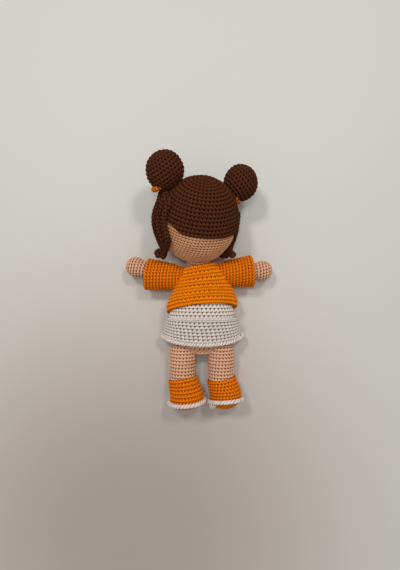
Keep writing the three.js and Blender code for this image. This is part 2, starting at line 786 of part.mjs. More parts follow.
function addLeg(name, leg) {
  const matrix = hipMatrix(leg);
  const group = groupAt(matrix, doll);
  const ankle = ankleMatrix(leg);
  const toShoe = ankle.clone().invert();
  const shoe = groupAt(ankle, group);
  const table = underTable(matrix);
  const shoeTable = placed(table, toShoe);
  node(`leg_skin_${name}`, cut(turnedTube(legProfile, legWall), table), colours.peach, group);

  const legRoom = placed(turned([
    [legEnd - clearance, shoeTopRadius - shoeWall],
    [rimY - 2 * clearance, shoeTopRadius - shoeWall],
    [rimY - clearance, ankleRadius + clearance],
    [legInShoe - legLength, ankleRadius + clearance],
  ]), toShoe);
  const upper = bodyThrough([...shoeRings(0, leg), ...shoeRings(shoeWall, leg).reverse()], true);
  node(`shoe_upper_${name}`, cut(upper, legRoom, shoeTable), colours.orange, shoe);

  const innerDome = soleDome - soleWall;
  const outside = soleRings(0, leg, clearance, soleDome);
  const sole = bodyThrough([...outside.reverse(), ...soleRings(soleWall, leg, clearance, innerDome)]);
  node(`shoe_sole_${name}`, cut(sole, shoeTable), colours.orange, shoe);

  const outset = seamCord + clearance;
  const line = ringOf(seamSteps, (angle) => {
    const across = (shoeHalfWidth + outset) * Math.cos(angle);
    const forward = toeShift + (shoeHalfLength + outset) * Math.sin(angle);
    return new THREE.Vector3(across, soleLift(leg, across, forward) - shoeLength, forward);
  });
  const seamLine = new THREE.CatmullRomCurve3(line, true);
  const seam = cordThrough(seamLine, seamCord, seamSteps, seamSides, true);
  node(`shoe_trim_${name}`, cut(seam, shoeTable), colours.white, shoe);

  const footWall = shoeWall + clearance;
  const foot = bodyThrough([
    ...shoeRings(footWall, leg),
    ...soleRings(footWall, leg, 0, innerDome).slice(1),
  ]);
  const legSleeve = turned([[legEnd - clearance, shoeTopRadius], [legInShoe - legLength, shoeTopRadius]]);
  const lowerFoot = placed(cut(foot, placed(legSleeve, toShoe)), ankle);
  const fillProfile = [...legProfile, [legEnd - legInShoe, legInShoeRadius]].map(([y, radius]) => (
    [y, radius - legWall - clearance]
  ));
  node(`leg_stuffing_${name}`, join(turned(fillProfile), lowerFoot), colours.fill, group);
}

addHead();
addHairCap();
for (const [name, bun] of Object.entries(buns)) {
  addBun(name, bun);
}
addLocks('port', -1);
addLocks('starboard', 1);
addTorso();
addSweaterBody();
for (const [name, arm] of Object.entries(arms)) {
  addArm(name, arm);
}
addYoke();
addFlounce();
for (const [name, leg] of Object.entries(legs)) {
  addLeg(name, leg);
}

export default doll;
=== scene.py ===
import math

import bpy
import numpy as np
from mathutils import Matrix, Vector


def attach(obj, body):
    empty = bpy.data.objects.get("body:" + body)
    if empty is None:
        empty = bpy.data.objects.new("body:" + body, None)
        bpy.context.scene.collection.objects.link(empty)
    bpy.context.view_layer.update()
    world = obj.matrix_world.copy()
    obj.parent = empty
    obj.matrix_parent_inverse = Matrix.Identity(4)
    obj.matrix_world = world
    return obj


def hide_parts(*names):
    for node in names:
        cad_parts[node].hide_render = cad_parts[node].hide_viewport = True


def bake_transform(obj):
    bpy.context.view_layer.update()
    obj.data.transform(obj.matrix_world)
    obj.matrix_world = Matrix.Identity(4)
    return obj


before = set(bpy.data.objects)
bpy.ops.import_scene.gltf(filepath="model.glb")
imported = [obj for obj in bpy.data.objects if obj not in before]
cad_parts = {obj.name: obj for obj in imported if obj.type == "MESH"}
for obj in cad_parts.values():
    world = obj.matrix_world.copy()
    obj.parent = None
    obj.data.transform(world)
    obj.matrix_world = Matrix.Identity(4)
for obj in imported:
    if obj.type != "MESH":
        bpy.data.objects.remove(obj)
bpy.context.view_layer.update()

# Lengths are in millimetres, apart from the flat sizes of cloth, the lamps and the table, which
# are in metres. "port" is the doll's side at -X, and "starboard" the side at +X.
MM = 0.001
DEGREE = math.pi / 180
TURN = 2 * math.pi
SIDES = {"port": -1, "starboard": 1}

# The photograph's width and height and the lens's focal length, in pixels, and the camera's place
PICTURE = (400, 570)
FOCAL = 458
EYE = (-2.2, 26, 520)


# Finishes


class Shade:
    """A value, colour, vector or shader in a node tree, with the sums that shader maths needs."""

    def __init__(self, nodes, output):
        self.nodes, self.output = nodes, output

    def sum(self, operation, first, second):
        return self.nodes.node("ShaderNodeMath", {"operation": operation}, {0: first, 1: second})

    def __add__(self, other):
        return self.sum("ADD", self, other)

    def __sub__(self, other):
        return self.sum("SUBTRACT", self, other)

    def __rsub__(self, other):
        return self.sum("SUBTRACT", other, self)

    def __mul__(self, other):
        return self.sum("MULTIPLY", self, other)

    __radd__, __rmul__ = __add__, __mul__


class Nodes:
    """A node tree under construction."""

    def __init__(self, tree):
        self.tree = tree

    def node(self, kind, settings=None, inputs=None, out=0):
        """A new node, from its settings and from the values or links of its sockets."""
        made = self.tree.nodes.new(kind)
        for key, value in (settings or {}).items():
            setattr(made, key, value)
        for key, value in (inputs or {}).items():
            if isinstance(value, Shade):
                self.tree.links.new(value.output, made.inputs[key])
            else:
                made.inputs[key].default_value = value
        return Shade(self, made.outputs[out])

    def show(self, end, shade):
        """Links a shader to the node at the end of the tree."""
        self.tree.links.new(shade.output, self.tree.nodes[end].inputs["Surface"])


class Finish(Nodes):
    """A material under construction."""

    def __init__(self, name, roughness, shine, sheen=0.0):
        self.material = bpy.data.materials.new(name)
        self.material.use_nodes = True
        super().__init__(self.material.node_tree)
        self.surface = self.tree.nodes["Principled BSDF"]
        self.surface.inputs["Roughness"].default_value = roughness
        self.surface.inputs["Sheen Weight"].default_value = sheen
        self.surface.inputs["Specular IOR Level"].default_value = shine

    def feed(self, socket, shade):
        self.tree.links.new(shade.output, self.surface.inputs[socket])

    def between(self, share, low, high):
        """A colour between two, by a share from 0 to 1."""
        settings = {"data_type": "RGBA", "clamp_factor": True}
        share_socket, low_socket, high_socket, colour_out = 0, 6, 7, 2
        inputs = {share_socket: share, low_socket: low, high_socket: high}
        return self.node("ShaderNodeMix", settings, inputs, out=colour_out)

    def stretch(self, value, low, high):
        """A share that goes smoothly from 0 at low to 1 at high."""
        inputs = {"Value": value, "From Min": low, "From Max": high}
        return self.node("ShaderNodeMapRange", {"interpolation_type": "SMOOTHSTEP"}, inputs)

    def noise(self, place, scale, detail):
        return self.node(
            "ShaderNodeTexNoise", {}, {"Vector": place, "Scale": scale, "Detail": detail},
        )

    def object_place(self):
        return self.node("ShaderNodeTexCoord", out="Object")

    def vector_sum(self, operation, first, second):
        return self.node("ShaderNodeVectorMath", {"operation": operation}, {0: first, 1: second})

    def length_of(self, vector):
        return self.node("ShaderNodeVectorMath", {"operation": "LENGTH"}, {0: vector}, out="Value")


def linear(red, green, blue):
    """A colour as a picture shows it, 0 to 255, as the light it stands for."""
    def one(value):
        value /= 255
        return value / 12.92 if value <= 0.04045 else ((value + 0.055) / 1.055) ** 2.4
    return (one(red), one(green), one(blue), 1.0)


def yarn_finish(name, top, hole_shade, sheen):
    """Cotton yarn: its colour on the loops, with painted shade in the holes between them, uneven
    from stitch to stitch, plied.
    """
    finish = Finish(name, roughness=0.85, shine=0.06, sheen=sheen)
    place = finish.object_place()
    depth = finish.node("ShaderNodeAttribute", {"attribute_name": "loop_height"}, out="Fac")
    stitch = finish.node("ShaderNodeAttribute", {"attribute_name": "stitch_place"}, out="Vector")
    across = finish.node("ShaderNodeSeparateXYZ", {}, {0: stitch}, out="X")
    up = finish.node("ShaderNodeSeparateXYZ", {}, {0: stitch}, out="Y")
    slant = (across * 2.0 + up * 3.0) * TURN
    ply = finish.node("ShaderNodeMath", {"operation": "SINE"}, {0: slant})
    fibre = finish.noise(place, scale=2600.0, detail=3.0)
    uneven = finish.noise(place, scale=190.0, detail=2.0)
    broad = finish.noise(place, scale=28.0, detail=1.0)
    # The colour goes from the painted shade of the holes up to the yarn's colour on the loops, by
    # how high the yarn stands
    lift = finish.stretch(depth + fibre * 0.12 - 0.06, 0.02, 0.72)
    lift = lift * (0.82 + 0.3 * uneven) * (0.9 + 0.18 * broad) + ply * 0.035
    finish.feed("Base Color", finish.between(lift, hole_shade, top))
    relief = {"Strength": 0.55, "Distance": 0.00022, "Height": ply * 0.5 + fibre * 0.9}
    finish.feed("Normal", finish.node("ShaderNodeBump", {}, relief))
    return finish.material


# Each yarn has its colour on the loops, then the painted shade of its holes, then its sheen
PEACH = yarn_finish("peach_cotton", linear(234, 181, 146), linear(100, 52, 30), 0.05)
# The peach yarn again, darker and more orange: painted shade for the face, which is turned away
# from the light
SHADED_PEACH = yarn_finish("peach_cotton_painted_shade", linear(226, 164, 122), linear(96, 46, 22), 0.02)
BROWN = yarn_finish("brown_cotton", linear(86, 45, 25), linear(12, 2, 0), 0.0)
ORANGE = yarn_finish("sweater_cotton", linear(255, 142, 8), linear(132, 44, 0), 0.0)
DEEP_ORANGE = yarn_finish("orange_cotton", linear(240, 124, 6), linear(98, 29, 0), 0.0)
# The white's warm tint is partly the cotton's own colour and partly painted light thrown back from
# the orange and peach yarn
WHITE = yarn_finish("white_cotton", linear(236, 225, 216), linear(98, 78, 66), 0.05)


# Shapes. A surface gives the points at a turn round a piece and at a share along it, both 0 to 1.


def stack(x, y, z):
    return np.stack(np.broadcast_arrays(x, y, z), -1).astype(float)


def placed(points, matrix):
    whole = np.array(matrix)
    return points @ whole[:3, :3].T + whole[:3, 3]


def shift_to(x, y, z):
    return Matrix.Translation((x, y, z))


def spin(angle, axis):
    return Matrix.Rotation(angle * DEGREE, 4, axis)


def smooth(share):
    share = np.clip(share, 0, 1)
    return share * share * (3 - 2 * share)


def eased(at, places, values):
    """Values between the rows of a table, on a smooth curve that doesn't overshoot."""
    places, values = np.asarray(places, float), np.asarray(values, float)
    step = np.diff(places)
    slope = np.diff(values) / step
    product = slope[1:] * slope[:-1]
    total = np.where(product > 0, slope[1:] + slope[:-1], 1)
    inner = np.where(product > 0, 2 * product / total, 0)
    tangent = np.concatenate([slope[:1], inner, slope[-1:]])
    at = np.clip(at, places[0], places[-1])
    row = np.clip(np.searchsorted(places, at, "right") - 1, 0, len(step) - 1)
    t = (at - places[row]) / step[row]
    return (
        (1 + 2 * t) * (1 - t) ** 2 * values[row]
        + t * (1 - t) ** 2 * step[row] * tangent[row]
        + t * t * (3 - 2 * t) * values[row + 1]
        + t * t * (t - 1) * step[row] * tangent[row + 1]
    )


def run_along(points):
    """The way from the first point to each of the others."""
    steps = np.linalg.norm(np.diff(points, axis=0), axis=1)
    return np.concatenate([[0], np.cumsum(steps)])


def egg(radius, half_length, top=90.0, foot=-90.0):
    """Rounds of an egg about Y, from the latitude top to the latitude foot."""
    def surface(turn, along):
        latitude = (top + (foot - top) * along) * DEGREE
        azimuth = turn * TURN
        return stack(
            radius * np.cos(latitude) * np.sin(azimuth),
            half_length * np.sin(latitude),
            radius * np.cos(latitude) * np.cos(azimuth),
        )
    return surface


def turned(profile):
    """A surface about Y through pairs of a place along it and a radius."""
    profile = np.array(profile, float)
    run = run_along(profile)
    run /= run[-1]

    def surface(turn, along):
        radius = eased(along, run, profile[:, 1])
        y = eased(along, run, profile[:, 0])
        return stack(radius * np.sin(turn * TURN), y, radius * np.cos(turn * TURN))
    return surface


def set_at(surface, matrix):
    return lambda turn, along: placed(surface(turn, along), matrix)


def ring_point(turn, x, y, z, wide, deep, lean=0.0, rise=0.0, roll=0.0):
    """A point round a section of the torso or of the clothes, from +X toward the front."""
    across, up = wide * np.cos(turn * TURN), deep * np.sin(turn * TURN)
    return stack(
        x + across,
        y - up * np.sin(lean) + up * rise + across * np.tan(roll),
        z + up * np.cos(lean),
    )


def smooth_line(points, closed, samples=24):
    """Points at even distances on a smooth line through the given ones."""
    count = len(points)
    rows = []
    for i in range(count if closed else count - 1):
        near = (i - 1, i, i + 1, i + 2)
        near = [k % count if closed else min(max(k, 0), count - 1) for k in near]
        a, b, c, d = points[near]
        t = np.arange(samples)[:, None] / samples
        bend = 2 * a - 5 * b + 4 * c - d + t * (3 * (b - c) + d - a)
        rows.append(b + 0.5 * t * (c - a + t * bend))
    line = np.concatenate(rows + [points[:1] if closed else points[-1:]])
    run = run_along(line)
    run /= run[-1]
    share = np.linspace(0, 1, len(line))
    return np.stack([np.interp(share, run, line[:, k]) for k in range(3)], 1), share


def sweep(points, radius, closed=False):
    """A round cord along a smooth line, as a surface. radius is a number or follows the share."""
    line, share = smooth_line(np.array(points, float), closed)
    if closed:
        ahead = np.roll(line[:-1], -1, 0) - np.roll(line[:-1], 1, 0)
        ahead = np.concatenate([ahead, ahead[:1]])
    else:
        ahead = np.gradient(line, axis=0)
    ahead /= np.linalg.norm(ahead, axis=1)[:, None]
    side = np.zeros_like(line)
    side[0] = np.cross(ahead[0], (0.31, 0.52, 0.79))  # any direction that isn't along the line
    for i in range(1, len(line)):
        side[i] = side[i - 1]
        side[i] -= ahead[i] * (side[i] @ ahead[i])
        side[i] /= np.linalg.norm(side[i])
    side[0] /= np.linalg.norm(side[0])
    other = np.cross(ahead, side)
    if closed:
        # The last ring turns back to meet the first
        slip = math.atan2(side[-1] @ other[0], side[-1] @ side[0])
        angle = (-slip * share)[:, None]
        side, other = (
            side * np.cos(angle) + other * np.sin(angle),
            other * np.cos(angle) - side * np.sin(angle),
        )

    def surface(turn, along):
        def at(table):
            return np.stack([np.interp(along, share, table[:, k]) for k in range(3)], -1)
        size = np.asarray(radius(along) if callable(radius) else radius)[..., None]
        size = size * np.ones(np.broadcast(turn, along).shape)[..., None]
        azimuth = np.asarray(turn * TURN)[..., None]
        return at(line) + size * (np.cos(azimuth) * at(side) + np.sin(azimuth) * at(other))
    return surface


# Crochet

# A stitch is two legs of yarn. Each goes from a place across the stitch at its foot to one at
# its top, and has a share of the full loop height and a half width.
VEE = ((0.5, 0.12, 1.0, 0.305), (0.5, 0.88, 0.92, 0.305))
BEADS = ((0.08, 0.42, 0.86, 0.235), (0.58, 0.92, 0.82, 0.235))

# Filled cloth isn't quite even: waves over it, each with a direction, a length and a start
WAVES = (
    ((0.8, 0.5, 0.33), 23.0, 0.4), ((-0.4, 0.85, 0.35), 17.0, 1.9), ((0.3, -0.5, 0.81), 29.0, 4.0),
)

# Nothing goes nearer to the table than TABLE_GAP, and points within SAME_PLACE become one
TABLE_GAP, SAME_PLACE = 0.05, 0.002

# How high the yarn counts for the finish's painted shade, past a cloth's edge and inside it, and
# the places of the rings over the thickness of its rim
EDGE_HEIGHT, INSIDE_HEIGHT = 0.35, 0.45
RIM = (0.15, 0.5, 0.85)


def above_table(points):
    points[..., 2] = np.maximum(points[..., 2], TABLE_GAP)


def loop_heights(across, up, legs):
    """How high the yarn stands at a place in its stitch: 0 in a hole and 1 on a loop."""
    height = np.zeros(np.broadcast(across, up).shape)
    bow = 0.32 + 0.68 * np.clip(np.sin(np.pi * up), 0, 1) ** 0.6
    for foot, top, full, width in legs:
        away = np.abs((across - (foot + (top - foot) * up) + 0.5) % 1 - 0.5) / width
        round_leg = np.sqrt(np.clip(1 - away * away, 0, 1))
        height = np.maximum(height, full * round_leg * bow)
    return height


def outward(points):
    """Directions out of a grid of rings, as seen from the middle of each ring."""
    round_it = np.roll(points, -1, 1) - np.roll(points, 1, 1)
    along = np.gradient(points, axis=0)
    normal = np.cross(round_it, along)
    size = np.linalg.norm(normal, axis=2, keepdims=True)
    normal /= np.where(size > 1e-9, size, 1)
    out = (normal * (points - points.mean(1, keepdims=True))).sum()
    return normal if out >= 0 else -normal


def faces_in(points, faces):
    """Whether the faces of a closed mesh look inward."""
    thirds = [(f[0], f[k], f[k + 1]) for f in faces for k in range(1, len(f) - 1)]
    a, b, c = (points[list(corner)] for corner in zip(*thirds))
    return (a * np.cross(b, c)).sum() < 0


def grid_faces(count, columns, bands, places):
    """The faces between rings of points, and the stitch place at each of their corners."""
    index = np.arange(count * columns).reshape(count, columns)
    low, high = index[:bands], np.roll(index, -1, 0)[:bands]
    faces = np.stack([low, np.roll(low, -1, 1), np.roll(high, -1, 1), high], -1)
    turn = np.arange(columns + 1) / columns
    stitches, shift, foot, top = (np.asarray(v, float)[:bands, None] for v in places)
    left = np.broadcast_to(turn[:-1] * stitches + shift, (bands, columns))
    right = np.broadcast_to(turn[1:] * stitches + shift, (bands, columns))
    foot, top = np.broadcast_to(foot, left.shape), np.broadcast_to(top, left.shape)
    corners = np.stack([
        np.stack([left, foot], -1), np.stack([right, foot], -1),
        np.stack([right, top], -1), np.stack([left, top], -1),
    ], 2)
    return index, faces.reshape(-1, 4), corners.reshape(-1, 4, 2)


def mesh_from(name, rings, heights, places, finish, loop=False, closed=(False, False)):
    """An object through rings of points.

    places holds lists of stitches, shift, foot and top, with an entry for each band of faces.
    loop joins the last ring to the first, and closed fills the first and the last ring.
    """
    rings = np.asarray(rings)
    count, columns = rings.shape[:2]
    points, heights = rings.reshape(-1, 3), np.asarray(heights).reshape(-1)
    index, faces, corners = grid_faces(count, columns, count if loop else count - 1, places)
    # Points that lie on one another become one, and faces that have no width go
    key = np.round(points / SAME_PLACE).astype(np.int64)
    _, first, same = np.unique(key, axis=0, return_index=True, return_inverse=True)
    same = same.reshape(-1)
    points, heights, faces = points[first], heights[first], same[faces]
    kept, kept_corners = [], []
    for face, corner in zip(faces.tolist(), corners.tolist()):
        kinds = len(set(face))
        if kinds == 3:
            pick = [k for k in range(4) if face[k] != face[k - 1]]
            face, corner = [face[k] for k in pick], [corner[k] for k in pick]
        if kinds < 3 or len(face) < 3:
            continue
        kept.append(face)
        kept_corners.extend(corner)
    ends = () if loop else ((index[0], closed[0]), (index[-1][::-1], closed[1]))
    for ring, is_closed in ends:
        rim = list(dict.fromkeys(same[ring].tolist()))
        if is_closed and len(rim) > 2:
            middle = len(points)
            points = np.vstack([points, points[rim].mean(0)])
            heights = np.append(heights, heights[rim].mean())
            for k, here in enumerate(rim):
                kept.append([rim[(k + 1) % len(rim)], here, middle])
                kept_corners.extend([[0, 0], [0.5, 0], [0.2, 0.5]])
    mesh = bpy.data.meshes.new(name)
    mesh.from_pydata((points * MM).tolist(), [], kept)
    mesh.polygons.foreach_set("use_smooth", [True] * len(kept))
    mesh.attributes.new("loop_height", "FLOAT", "POINT").data.foreach_set("value", heights)
    layer = mesh.attributes.new("stitch_place", "FLOAT2", "CORNER")
    layer.data.foreach_set("vector", np.asarray(kept_corners, np.float32).reshape(-1))
    mesh.validate()
    if faces_in(points, kept):
        mesh.flip_normals()
    mesh.materials.append(finish)
    made = bpy.data.objects.new(name, mesh)
    bpy.context.scene.collection.objects.link(made)
    return made


def crochet(
    name, surface, finish, row=3.7, stitch=3.9, legs=(VEE,), lift=1.25, sink=0.55, lean=0.13,
    wall=0.0, closed=(True, True), limit=None, uneven=0.3, steps=6, fine=7, seed=1, whole=False,
):
    """A crocheted piece over a surface: rows of stitches along it, each of two yarn legs.

    row and stitch are the height and width of a stitch, and legs holds the kinds of rows in turn.
    lift is how thick the relief is, and sink the share of it below the surface. lean is how far
    each row is shifted against the last. wall makes an open piece of cloth. limit says, for each
    turn, where the cloth ends. steps and fine are the rings and the columns in a stitch. whole
    joins the last row to the first.
    """
    # The way along the surface and its girth, from a coarse look at it
    look, turns = np.linspace(0, 1, 161), np.arange(36) / 36
    seen = surface(turns[None, :], look[:, None])
    step = np.linalg.norm(np.diff(seen, axis=0), axis=2).mean(1)
    run = np.concatenate([[0], np.cumsum(step)])
    girth = np.linalg.norm(np.roll(seen, -1, 1) - seen, axis=2).sum(1)
    rows = max(2, round(run[-1] / row))
    rows += rows % len(legs)
    middle = np.interp((np.arange(rows) + 0.5) / rows * run[-1], run, girth)
    stitches = np.maximum(np.round(middle / stitch), 5).astype(int)
    columns = int(fine * stitches.max())
    places = np.interp(np.linspace(0, run[-1], rows * steps + 1), run, look)
    if whole:
        places = places[:-1]
    count = len(places)
    turn = np.arange(columns)[None, :] / columns
    end = np.ones_like(turn) if limit is None else limit(turn)
    along = np.minimum(places[:, None], end)
    turn_grid = np.broadcast_to(turn, along.shape)
    points = surface(turn_grid, along)
    normal = outward(surface(turn_grid, places[:, None] + 0 * turn))

    rng = np.random.default_rng(seed)
    height = np.zeros(along.shape)
    shift = np.cumsum(rng.uniform(0.7, 1.3, rows)) * lean
    for r in range(rows):
        across = turn[0] * stitches[r] + shift[r]
        full = rng.uniform(0.86, 1.0, stitches[r])[np.floor(across).astype(int) % stitches[r]]
        for k in range(steps):
            height[r * steps + k] = loop_heights(across, k / steps, legs[r % len(legs)]) * full
    height = np.where(along < places[:, None] - 1e-9, EDGE_HEIGHT, height)
    wave = sum(
        np.sin(points @ np.array(direction) * TURN / length + phase)
        for direction, length, phase in WAVES
    )
    # The relief fades out at a closed end
    edge, ease = np.linspace(0, 1, count)[:, None], 1.0
    if closed[0]:
        ease = ease * smooth(edge * 30)
    if closed[1]:
        ease = ease * smooth((1 - edge) * 30)
    out = lift * (height - sink) * ease + uneven * wave / len(WAVES)
    outer = points + normal * out[..., None]
    above_table(outer)

    band = np.minimum(np.arange(count) // steps, rows - 1)
    foot = band + (np.arange(count) - band * steps) / steps
    table = [list(stitches[band]), list(shift[band]), list(foot), list(foot + 1 / steps)]
    rings, heights = list(outer), list(height)
    if wall:
        inside = [outer[-1] - normal[-1] * wall * share for share in RIM]
        inside += [
            points[ring] - normal[ring] * (wall + lift * sink)
            for ring in range(rows * steps, -1, -steps)
        ]
        inside += [outer[0] - normal[0] * wall * share for share in RIM[::-1]]
        for ring in inside:
            above_table(ring)
        rings += inside
        heights += [np.full(columns, INSIDE_HEIGHT)] * len(inside)
        for column, value in zip(table, (stitches[0], 0.0, 0.3, 0.6)):
            column.extend([value] * len(inside))
    return mesh_from(name, rings, heights, table, finish, loop=bool(wall) or whole, closed=closed)


def twisted(name, surface, finish, length, pitch, depth):
    """A chunky edge of slanted loops round a swept ring. depth is a share of its radius."""
    plies, steps, columns = 2, 6, 14
    loops = round(length / pitch)
    along = np.arange(loops * steps)[:, None] / (loops * steps)
    turn = np.arange(columns)[None, :] / columns
    points = surface(turn, along + 0 * turn)
    middle = points.mean(1, keepdims=True)
    slack = 0.1 * np.sin(along * TURN * (loops // 4) + 1)
    phase = turn * plies + along * loops + slack
    full = 0.93 + 0.07 * np.sin(along * TURN * (loops // 3) + 2)
    height = full * np.abs(np.cos(np.pi * phase)) ** 0.7
    points = middle + (points - middle) * (1 - depth + 1.35 * depth * height)[..., None]
    above_table(points)
    rows = np.arange(loops * steps) / steps
    table = [[plies] * len(rows), list(rows), list(rows), list(rows + 1 / steps)]
    return mesh_from(name, list(points), list(height), table, finish, loop=True)


# The doll's own sizes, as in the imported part

# Rows of the torso: the place along it, then shares of NECK_SHIFT, TORSO_HEIGHT, TORSO_WIDE
# and TORSO_DEEP. Rows of the sweater: the same for SWEATER_WIDE and SWEATER_DEEP, and then
# shares of its rise and of its roll.
TORSO_BOTTOM, TORSO_LENGTH, TORSO_WIDE, TORSO_DEEP = -43.6, 86.6, 33.2, 18.4
TORSO_HEIGHT = 24.0
NECK_SHIFT = -3.4
TORSO = np.array([
    [0, 0, 0.65, 0.919, 0.641], [0.042, 0, 0.692, 0.97, 0.717], [0.134, 0, 0.783, 0.988, 0.837],
    [0.261, 0, 0.892, 1, 0.957], [0.411, 0, 0.992, 0.976, 1], [0.55, 0, 1, 0.904, 1],
    [0.688, 0, 0.983, 0.771, 0.957], [0.827, 0.12, 0.95, 0.633, 0.848],
    [0.919, 0.36, 0.917, 0.554, 0.739], [1, 1, 0.9, 0.392, 0.696],
])
COLLAR_Y, SWEATER_LENGTH, SWEATER_WIDE, SWEATER_DEEP = 47.6, 48.6, 38.2, 24.5
SWEATER_RISE, SWEATER_ROLL = 0.3, 11 * DEGREE
SWEATER = np.array([
    [0, 1, 0.925, 0.424, 0.718, 0.067, 1], [0.126, 0.71, 0.933, 0.545, 0.767, 0.1, 0.91],
    [0.3, 0.29, 0.95, 0.691, 0.841, 0.2, 0.64], [0.506, 0.12, 0.958, 0.817, 0.922, 0.4, 0.45],
    [0.691, 0, 0.975, 0.921, 0.976, 0.667, 0.41], [0.866, 0, 1, 0.99, 1, 0.933, 0.41],
    [1, 0, 1, 1, 1, 1, 0.41],
])
HEAD_RADIUS, HEAD_HALF, CAP_RADIUS, CAP_HALF = 39.1, 44.4, 41.9, 47.2
HEAD_PLACE = Vector((-3.4, 93.1, 41.95))
HEAD = shift_to(*HEAD_PLACE) @ spin(-9, "Z") @ spin(32, "X") @ spin(8, "Y")


def piece_of(made, body, slot, *nodes, bend=None):
    """Puts a piece on its body, unless bend is given, and hides the nodes that it stands for. slot
    is not used.

    When bend is given, the piece is left off its body with its place baked into its points; the
    points in bend are not used.
    """
    if bend:
        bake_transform(made)
    else:
        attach(made, body)
    if nodes:
        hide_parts(*nodes)
    return made


# Head and hair

# Latitudes on the head: where the crochet of the face starts and ends, how low the cap's
# surface goes, and where its edge lies at the nape
FACE_TOP, FACE_FOOT = 34.0, -90.0
CAP_FOOT, NAPE = -56.0, -52


def cap_edge(turn):
    """Latitude of the cap's edge in degrees: level over the face, low at the nape."""
    signed = ((turn + 0.5) % 1 - 0.5) * 360
    temple, behind_ear = 58, 98
    front = 0.5 + 7.0 * smooth((-signed - 22) / 30) - 1.5 * smooth((signed - 10) / 30)
    return front + (NAPE - front) * smooth((np.abs(signed) - temple) / (behind_ear - temple))


def face_surface(turn, along):
    """The head's egg, fuller at the cheeks below the cap's edge and most at the port one."""
    points = egg(HEAD_RADIUS + 0.5, HEAD_HALF, FACE_TOP, FACE_FOOT)(turn, along)
    latitude = FACE_TOP + (FACE_FOOT - FACE_TOP) * along
    across = np.cos(np.clip(latitude * DEGREE, -1.45, 0))
    fuller = 0.13 + 0.10 * smooth(-points[..., 0] / 20)
    fuller = fuller * smooth((cap_edge(turn) - latitude - 3) / 12)
    points[..., 0] *= across ** -fuller
    return points


head = crochet(
    "head_crochet", set_at(face_surface, HEAD), SHADED_PEACH, row=3.35, stitch=3.6, seed=3, uneven=0.5,
)
piece_of(head, "head", "peach_crochet", "head_skin", "head_stuffing")

cap = crochet(
    "hair_crochet", set_at(egg(CAP_RADIUS - 0.2, CAP_HALF - 0.2, foot=CAP_FOOT), HEAD), BROWN,
    row=4.1, stitch=4.1, lift=1.7, sink=0.6, closed=(True, False),
    limit=lambda turn: (90 - cap_edge(turn)) / (90 - CAP_FOOT), wall=2.0, seed=5, lean=0.1,
)
piece_of(cap, "head", "brown_crochet", "hair_cap")

# angle is a bun's way from the top of the head to the side, forward its way to the face, and
# longer its stretch along the doll
BUNS = {
    "port": {"radius": 19.3, "angle": 42.5, "forward": -17.0, "longer": 1.07},
    "starboard": {"radius": 17.8, "angle": 49.5, "forward": -27.0, "longer": 1.09},
}
BUN_SUNK = 2.5

# A hair tie goes round the foot of each bun: below is the distance from the bun's middle, aside
# and toward are how far and which way the ring lies off the bun's line, and ring and yarn are
# the radii of the ring and of its cord
TIES = {
    "port": {"below": 9.2, "toward": 162.0, "aside": 8.7, "ring": 11.5, "yarn": 2.75},
    "starboard": {"below": 14.3, "toward": 43.3, "aside": 5.0, "ring": 8.5, "yarn": 3.0},
}


def bun_line(name):
    """The way from the head's middle to a bun's: a direction in the head's frame and a distance."""
    bun = BUNS[name]
    angle, forward = bun["angle"] * DEGREE, bun["forward"] * DEGREE
    line = Vector((
        SIDES[name] * math.sin(angle) * math.cos(forward), math.cos(angle),
        math.sin(angle) * math.sin(forward),
    ))
    cap_reach = 1 / math.hypot(math.cos(angle) / CAP_HALF, math.sin(angle) / CAP_RADIUS)
    return line, cap_reach + bun["radius"] - BUN_SUNK


for name, bun_sizes in BUNS.items():
    line, away = bun_line(name)
    turn_to = Vector((0, 1, 0)).rotation_difference(line).to_matrix().to_4x4()
    middle = (HEAD @ Matrix.Translation(line * away)).translation
    stretched = Matrix.Diagonal((1, bun_sizes["longer"], 1, 1))
    bun_place = Matrix.Translation(middle) @ stretched @ (HEAD @ turn_to).to_3x3().to_4x4()
    radius = bun_sizes["radius"] - 0.3
    bun = crochet(
        f"hair_bun_crochet_{name}", set_at(egg(radius, radius), bun_place), BROWN,
        row=4.0, stitch=4.0, lift=1.6, seed=11 + SIDES[name], lean=0.3, uneven=0.35,
    )
    piece_of(bun, "head", "brown_crochet", f"hair_bun_{name}", f"hair_bun_stuffing_{name}")


def tie_ring(name):
    """Points along a hair tie, which shows on the bun's lower, outer side."""
    tie = TIES[name]
    line, away = bun_line(name)
    line = HEAD.to_3x3() @ line
    first = line.cross(Vector((0, 0, 1))).normalized()
    second = line.cross(first)

    def off_line(angle):
        return math.cos(angle) * first + math.sin(angle) * second

    middle = HEAD_PLACE + line * away
    middle = middle - tie["below"] * line + tie["aside"] * off_line(tie["toward"] * DEGREE)
    return [tuple(middle + tie["ring"] * off_line(k * TURN / 20)) for k in range(20)]


for name, tie_sizes in TIES.items():
    tie = crochet(
        f"hair_tie_crochet_{name}", sweep(tie_ring(name), tie_sizes["yarn"], closed=True),
        DEEP_ORANGE, row=3.2, stitch=3.2, lift=0.9, whole=True, closed=(False, False), seed=21,
        uneven=0.0,
    )
    piece_of(tie, "head", "orange_crochet", f"hair_tie_{name}")


def seen_at(px, py, z):
    """The place at height z that the photograph shows at a pixel."""
    return Vector((
        (px - PICTURE[0] / 2) * (EYE[2] - z) / FOCAL + EYE[0],
        EYE[1] - (py - PICTURE[1] / 2) * (EYE[2] - z) / FOCAL,
        z,
    ))


